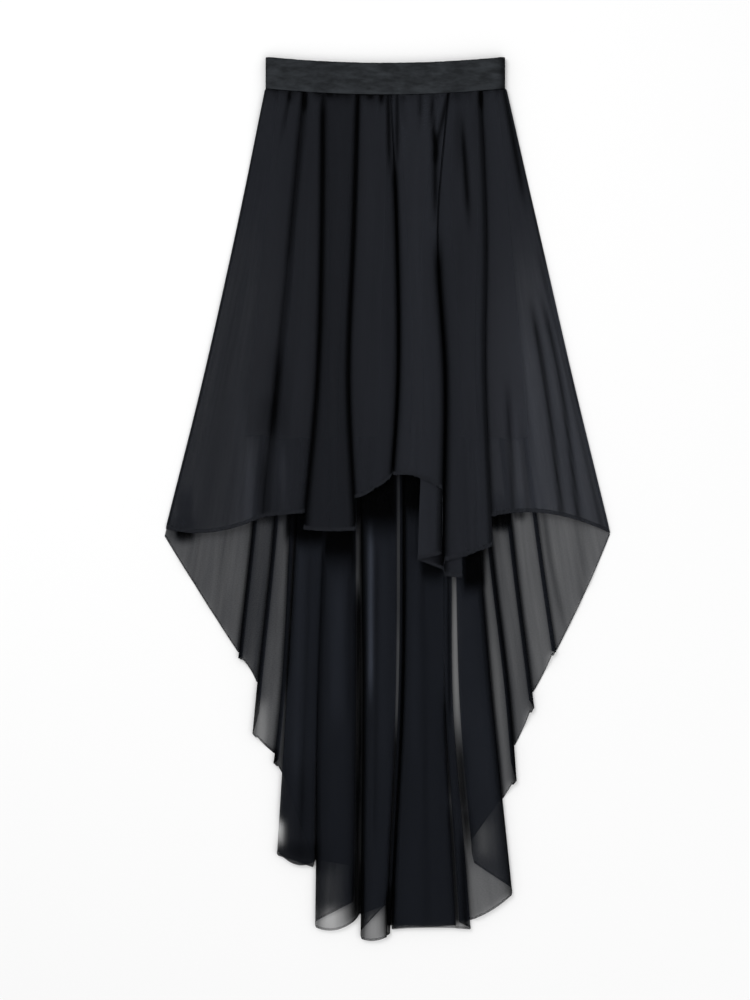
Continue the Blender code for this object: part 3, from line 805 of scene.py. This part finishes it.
FRONT_CREASES = [
    Crease(-136, -160, -188, -209, 1.2, 0.12, 9, 230, 700),
    Crease(-128, -146, -165, -172, 1.4, -0.22, 7, 400, 700),
    Crease(-120, -138, -154, -160, 1.0, -0.70, 6, 450, 700),
    Crease(-112, -138, -144, -150, 1.4, 0.55, 3.2, 0, 85),
    Crease(-95, -109, -126, -139, 0.0, 0.85, 3.4, 0, 68),
    Crease(-95, -110, -127, -142, 0.0, 0.78, 5.6, 0, 250),
    Crease(-118, -128, -136, -141, 1.0, 0.66, 8, 455, 700),
    Crease(-100, -112, -118, -121, 0.6, -0.60, 4, 450, 500),
    Crease(-58, -57, -56, -55, 1.2, 0.30, 4, 0, 60),
    Crease(-9, -8, -6, -4, 1.4, 0.40, 3, 0, 50),
    Crease(0.5, 4, 12, 2, 0.8, 0.88, 3.2, 0, 130),
    Crease(11, 11, 12, 12, 0.8, 0.82, 3, 0, 125),
    Crease(18, 19, 20, 20, 0.6, 0.30, 2.6, 0, 80),
    Crease(37, 36, 35, 34, 1.4, 0.40, 3, 0, 75),
    Crease(50, 58, 58, 58, 0.8, 0.85, 3.2, 0, 115),
    Crease(70, 38, 30, 30, 0.0, 0.86, 3.4, 0, 98),
    Crease(54, 54.5, 54.5, 54.5, 1.2, 0.88, 4, 90, 182),
    Crease(83, 93, 95, 98, 1.4, 0.95, 3.4, 78, 182),
    Crease(80, 88, 95, 98, 0.0, 0.30, 7, 60, 130),
    Crease(106, 112, 112, 118, 0.0, 0.85, 3, 0, 60),
    Crease(121, 130, 137, 144, 1.6, 0.70, 3.6, 385, 700),
    Crease(123, 134, 145, 153, 0.8, -0.35, 4, 400, 700),
    Crease(126, 140, 150, 162, 1.2, 0.40, 4, 430, 700),
    Crease(128, 142, 164, 176, 0.8, -0.35, 6, 320, 700),
    Crease(130, 150, 180, 200, 2.2, 0.88, 3.8, 290, 700),
    Crease(133, 160, 198, 219, 2.0, 0.84, 3.6, 285, 700),
    Crease(134.5, 164, 200, 240, 0.0, 0.85, 4.2, 0, 158),
    Crease(135, 168, 208, 244, 1.0, 0.50, 3, 230, 700),
    Crease(137, 166, 200, 230, 0.6, -0.30, 5, 300, 700),
]

FRONT_SPOTS = [
    Spot(-112, 45, 4, 8, 0.45),
    Spot(-94.9, 50, 3.4, 13, 0.55),
    Spot(-65, 43, 10, 6, 0.50),
    Spot(-21, 46, 5, 4, 0.45),
    Spot(-7.5, 48, 3.6, 7, 0.70),
    Spot(19, 47, 4, 4, 0.35),
    Spot(37, 55, 3, 14, 0.30),
    Spot(56, 104, 4, 17, 0.55),
    Spot(81, 46, 6, 5, 0.30),
    Spot(107.5, 48, 2.8, 11, 0.60),
    Spot(-125, 388, 11, 52, 0.34),
    Spot(-139, 412, 10, 24, 0.26),
]

# A painted pool of light over the front's right fan.
FRONT_GLOW = Spot(195, 430, 62, 190, 0.80)


# The gathers' shade: how deep it is, how far down it fades, and its deepest place and that one's width.
GATHER_DARK = 0.75
GATHER_FADE = 7.0
DEEPEST = (-28.0, 38.0)


def gather_shade(x, grid):
    """The gathers' shade just under the band: deepest left of the middle, and uneven."""
    below = grid[:, None] - waist_seam(x)
    uneven = 0.55 + 0.45 * np.sin(x / 3.1 + 1.4 * np.sin(x / 9.0)) * np.sin(x / 5.3 + 0.7)
    uneven += 0.5 * np.exp(-((x - DEEPEST[0]) / DEEPEST[1]) ** 2)
    return np.clip(GATHER_DARK * uneven, 0.0, 0.95) * np.exp(-np.maximum(below, 0.0) / GATHER_FADE)


front_panel, front_cloth = lay_cloth(
    "front_panel_chiffon", FRONT_FOLDS, FRONT_CREASES, FRONT_SPOTS, FRONT_GLOW, FRONT_DEPTHS, "front",
    rows=150, spacing=2.0, seed=2.1, shade=gather_shade,
)
OUTSIDE_COLOUR = (0.0160, 0.0174, 0.0216)
OUTSIDE_STREAKS = 0.20
front_panel.data.materials.append(chiffon("chiffon outside", OUTSIDE_COLOUR, OUTSIDE_STREAKS))
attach(front_panel, "root")
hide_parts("front_panel")


# Rolled hems
# The raw edge of each panel is rolled under twice and stitched down, so a narrow firm strip runs
# along the whole hem, through every pleat.

# Round the edge of the cloth: how far up from the edge, as a share of the hem, and how far out from
# the cloth's face.
HEM_PROFILE = ((1.0, -0.10), (0.97, -0.30), (0.3, -0.40), (0.03, -0.30), (-0.05, 0.0), (0.03, 0.35),
               (0.3, 0.45), (0.97, 0.35), (1.0, 0.15))


def roll_hem(name, cloth, deep):
    """Wraps a closed narrow roll round the lower edge of a laid sheet."""
    run_x = np.gradient(cloth.x, axis=1)
    run_z = np.gradient(cloth.z, axis=1)
    length = np.maximum(np.hypot(run_x, run_z), 1e-6)
    out_x, out_z = -run_z / length, run_x / length
    points = []
    for up, out in HEM_PROFILE:
        row = []
        for station, hem in enumerate(cloth.hems):
            down = hem - up * deep
            fields = (cloth.x, cloth.z, out_x, out_z)
            x, z, way_x, way_z = (np.interp(down, cloth.grid, field[:, station]) for field in fields)
            row.append((x + way_x * out, down, z + way_z * out))
        points.append(row)
    points.append(points[0])
    points = np.array(points)
    edge = points[0]
    run = np.linalg.norm(np.diff(edge, axis=0), axis=1)
    along = np.concatenate([[0.0], np.cumsum(run)]) * MM
    ups = np.array([up for up, out in HEM_PROFILE + HEM_PROFILE[:1]]) * deep * MM
    uv = np.stack(np.broadcast_arrays(along[None, :], ups[:, None]), axis=-1)
    return grid_mesh(name, to_skirt(points[..., 0], points[..., 1], points[..., 2]), uv)


def shade_ramp(tree, value, places, shades):
    """A colour between two shades, by a value."""
    ramp = tree.nodes.new("ShaderNodeValToRGB")
    for number in (0, 1):
        ramp.color_ramp.elements[number].position = places[number]
        ramp.color_ramp.elements[number].color = (*shades[number], 1.0)
    tree.links.new(value, ramp.inputs[0])
    return ramp.outputs[0]


def hem_cloth(name, colour, cover):
    """The rolled chiffon of the hem, uneven where the stitches pull it in."""
    material, tree, shader = new_material(name, 0.7, 0.05)
    shader.inputs["Alpha"].default_value = cover
    cloth = tree.nodes.new("ShaderNodeUVMap")
    cloth.uv_map = "cloth"
    grain = noise_node(tree, cloth.outputs["UV"], 420.0, 3.0)
    shades = [[share * part for part in colour] for share in (0.75, 1.25)]
    tree.links.new(shade_ramp(tree, grain, (0.3, 0.7), shades), shader.inputs["Base Color"])
    add_bump(tree, grain, 0.3, 0.0003)
    return material


inside_hem = hem_cloth("hem from inside", (0.012, 0.013, 0.016), 0.25)
outside_hem = hem_cloth("hem from outside", (0.0168, 0.0183, 0.0226), 0.55)

# How deep the roll of each hem is.
HEM_DEEP = {"back": 2.8, "front": 4.6}

for side, cloth, look in (("back", back_cloth, inside_hem), ("front", front_cloth, outside_hem)):
    hem = roll_hem(side + "_hem", cloth, HEM_DEEP[side])
    hem.data.materials.append(look)
    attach(hem, "root")


# Waistband
# One loop of wide elastic covered in black knit, pressed flat: two long runs joined by round ends,
# with the top edge sinking a little in the middle.

# The elastic's depth, the height of the flat loop, the wall of the elastic, and the grid of the mesh.
BAND_DEEP = 35.5
BAND_HIGH = 10.1
BAND_WALL = 2.9
LOOP_STATIONS = 520
BAND_ROWS = 36

# The cover rolls in at the edges and puckers along and down the band, less on the underside.
EDGE_ROLL = 0.16
PUCKER_ALONG = 0.16
PUCKER_DOWN = 0.14
UNDERSIDE = 0.3

# Painted shade on the cover, how deep and how widely: over the top edge, and round the left and right
# ends.
TOP_DARK = (0.35, 1.3)
LEFT_DARK = (0.45, 3.0)
RIGHT_DARK = (0.9, 6.0)


def loop_point(distance, run, bend):
    """A point of the flattened loop, by the distance round it: x and z from the loop's middle."""
    half_turn = math.pi * bend
    distance = distance % (2.0 * (run + half_turn))
    if distance < run:
        return distance - 0.5 * run, bend
    distance -= run
    if distance < half_turn:
        return 0.5 * run + bend * math.sin(distance / bend), bend * math.cos(distance / bend)
    distance -= half_turn
    if distance < run:
        return 0.5 * run - distance, -bend
    distance -= run
    return -0.5 * run - bend * math.sin(distance / bend), -bend * math.cos(distance / bend)


def light_left(off, deep, wide):
    """The painted light that is left at a distance from an edge painted in shade."""
    return 1.0 - deep * math.exp(-(off / wide) ** 2)


bpy.ops.mesh.primitive_grid_add(x_subdivisions=LOOP_STATIONS, y_subdivisions=BAND_ROWS, size=1.0)
waistband = bpy.context.object
waistband.name = "waistband_elastic"
waistband.data.name = "waistband_elastic"
band_mesh = waistband.data
band_tone = band_mesh.attributes.new("tone", "FLOAT", "POINT")
band_middle = 0.5 * sum(BAND_ENDS)
band_half = 0.5 * (BAND_ENDS[1] - BAND_ENDS[0])
bend = 0.5 * (BAND_HIGH - BAND_WALL)
run = 2.0 * band_half - BAND_WALL - 2.0 * bend
round_loop = 2.0 * (run + math.pi * bend)
for vertex in band_mesh.vertices:
    distance = (vertex.co.x + 0.5) * round_loop + 1.5 * run + math.pi * bend
    x, z = loop_point(distance, run, bend)
    share = 0.5 - vertex.co.y
    across = band_middle + x
    sink = BAND_DIP * (1.0 - min(1.0, abs(x) / band_half) ** 2)
    roll = 1.0 - EDGE_ROLL * (2.0 * share - 1.0) ** 8
    pucker = PUCKER_ALONG * math.sin(across / 2.1 + 3.0 * math.sin(share * 4.0)) * math.sin(across / 7.7)
    pucker += PUCKER_DOWN * math.sin(share * 20.0 + 0.8 * math.sin(across / 11.0))
    depth = BAND_TOP + sink + share * BAND_DEEP
    pucker = math.copysign(pucker, z) * (abs(z) / bend) * (1.0 if z > 0.0 else UNDERSIDE)
    z = 0.5 * BAND_HIGH + z * roll + pucker
    vertex.co = to_skirt(np.array(across), np.array(depth), np.array(z)).tolist()
    # The band's tone holds painted shade along its top edge and round its ends.
    tone = light_left(share * BAND_DEEP, *TOP_DARK) * light_left(x + band_half, *LEFT_DARK)
    band_tone.data[vertex.index].value = tone * light_left(x - band_half, *RIGHT_DARK)
bpy.ops.object.mode_set(mode="EDIT")
bpy.ops.mesh.select_all(action="SELECT")
bpy.ops.mesh.remove_doubles(threshold=0.00002)
bpy.ops.mesh.normals_make_consistent(inside=False)
bpy.ops.object.mode_set(mode="OBJECT")
wall = waistband.modifiers.new("elastic", "SOLIDIFY")
wall.thickness = BAND_WALL * MM
wall.offset = 0.0
bpy.ops.object.modifier_apply(modifier="elastic")
bpy.ops.object.shade_smooth_by_angle(angle=math.radians(50.0))


def elastic_cover():
    """Black knit over elastic: fine crosswise cords, and a tone mottled at random."""
    material, tree, shader = new_material("elastic cover", 0.75, 0.05)
    nodes, links = tree.nodes, tree.links
    place = nodes.new("ShaderNodeTexCoord")
    stretch = nodes.new("ShaderNodeMapping")
    stretch.inputs["Scale"].default_value = (52.0, 150.0, 150.0)
    links.new(place.outputs["Object"], stretch.inputs[0])
    mottle = noise_node(tree, stretch.outputs[0], 1.0, 3.0, 0.6)
    shades = ((0.0136, 0.0151, 0.0170), (0.0295, 0.0328, 0.0370))
    # The tone attribute carries the painted shade at the band's top edge and ends.
    kept = nodes.new("ShaderNodeAttribute")
    kept.attribute_name = "tone"
    toned = nodes.new("ShaderNodeVectorMath")
    toned.operation = "SCALE"
    links.new(shade_ramp(tree, mottle, (0.35, 0.68), shades), toned.inputs[0])
    links.new(kept.outputs["Fac"], toned.inputs["Scale"])
    links.new(toned.outputs[0], shader.inputs["Base Color"])
    cords = nodes.new("ShaderNodeTexWave")
    cords.bands_direction = "Y"
    cords.inputs["Scale"].default_value = 160.0
    cords.inputs["Distortion"].default_value = 2.0
    cords.inputs["Detail"].default_value = 2.0
    links.new(place.outputs["Object"], cords.inputs["Vector"])
    add_bump(tree, math_node(tree, "MULTIPLY_ADD", cords.outputs["Fac"], 0.12, mottle), 0.3, 0.0004)
    return material


waistband.data.materials.append(elastic_cover())
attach(waistband, "root")
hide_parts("waistband")


# Side seams
# Front and back are sewn together down each side. The seam is a narrow doubled edge that runs from
# the end of the band to the corner where the two hems meet.

# The seam's width, half its height, its stations round and down, how far it stops short of band and
# hem, how far it stands out past the cloth, and its least height over the floor.
SEAM_WIDE = 3.2
SEAM_HIGH = 1.1
SEAM_SIDES = 10
SEAM_ROWS = 120
SEAM_SHORT = 1.0
SEAM_OUT = 0.4
SEAM_LOWEST = 0.05


def side_seam(name, station, inward):
    """A flat closed cord of cloth along a side edge of the two panels."""
    top = float(front_cloth.seam[station]) + SEAM_SHORT
    down = np.linspace(top, float(front_cloth.hems[station]) - SEAM_SHORT, SEAM_ROWS)
    fields = (back_cloth.x, back_cloth.z, front_cloth.z)
    grids = (back_cloth.grid, back_cloth.grid, front_cloth.grid)
    x, low, high = (np.interp(down, grid, field[:, station]) for grid, field in zip(grids, fields))
    middle = 0.5 * (low + high)
    angle = np.linspace(0.0, 2.0 * math.pi, SEAM_SIDES + 1)[None, :]
    across = x[:, None] + inward * (0.5 * SEAM_WIDE * (1.0 + np.cos(angle)) - SEAM_OUT)
    up = np.maximum(middle[:, None] + SEAM_HIGH * np.sin(angle) * inward, SEAM_LOWEST)
    depth = np.broadcast_to(down[:, None], across.shape)
    uv = np.stack(np.broadcast_arrays(angle * MM, depth * MM), axis=-1)
    return grid_mesh(name, to_skirt(across, depth, up), uv)


seam_cloth = hem_cloth("side seam", (0.008, 0.009, 0.0115), 0.85)
for name, station, inward in (("side_seam_left", 0, 1.0), ("side_seam_right", -1, -1.0)):
    seam = side_seam(name, station, inward)
    seam.data.materials.append(seam_cloth)
    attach(seam, "root")


# Floor, light and camera
# A plain white surface under even studio light, with the camera straight above the skirt.

PIXEL = 1.15 * MM
PHOTO_HEIGHT = 1000
PHOTO_CENTRE_X = (375.0 - 387.5) * PIXEL
PHOTO_CENTRE_DEPTH = (500.0 - 58.0) * PIXEL
LENS = 85.0
SENSOR = 36.0

bpy.ops.mesh.primitive_plane_add(size=30.0, location=(0.0, 0.0, -0.0004))
floor = bpy.context.object
floor.name = "floor"
paper, _, paper_shader = new_material("white floor", 0.9, 0.0)
paper_shader.inputs["Base Color"].default_value = (0.93, 0.93, 0.93, 1.0)
floor.data.materials.append(paper)

sky = bpy.data.worlds.new("studio")
sky.use_nodes = True
sky.node_tree.nodes["Background"].inputs["Color"].default_value = (1.0, 1.0, 1.0, 1.0)
sky.node_tree.nodes["Background"].inputs["Strength"].default_value = 0.655
bpy.context.scene.world = sky

for name, place, size, power in (
    ("key", (-1.1, 1.3, 2.6), 1.6, 34.0),
    ("fill", (1.4, -1.0, 2.4), 2.2, 18.0),
):
    lamp = bpy.data.lights.new(name, "AREA")
    lamp.shape = "SQUARE"
    lamp.size = size
    lamp.energy = power
    holder = bpy.data.objects.new(name, lamp)
    holder.location = place
    aim = -holder.location
    holder.rotation_mode = "QUATERNION"
    holder.rotation_quaternion = aim.to_track_quat("-Z", "Y")
    bpy.context.scene.collection.objects.link(holder)

view = bpy.data.cameras.new("camera")
view.lens = LENS
view.sensor_width = SENSOR
camera = bpy.data.objects.new("camera", view)
height = PHOTO_HEIGHT * PIXEL * LENS / SENSOR
camera.location = (skirt_middle + PHOTO_CENTRE_X, skirt_top - PHOTO_CENTRE_DEPTH, height)
bpy.context.scene.collection.objects.link(camera)
bpy.context.scene.camera = camera
bpy.context.scene.view_settings.view_transform = "Standard"
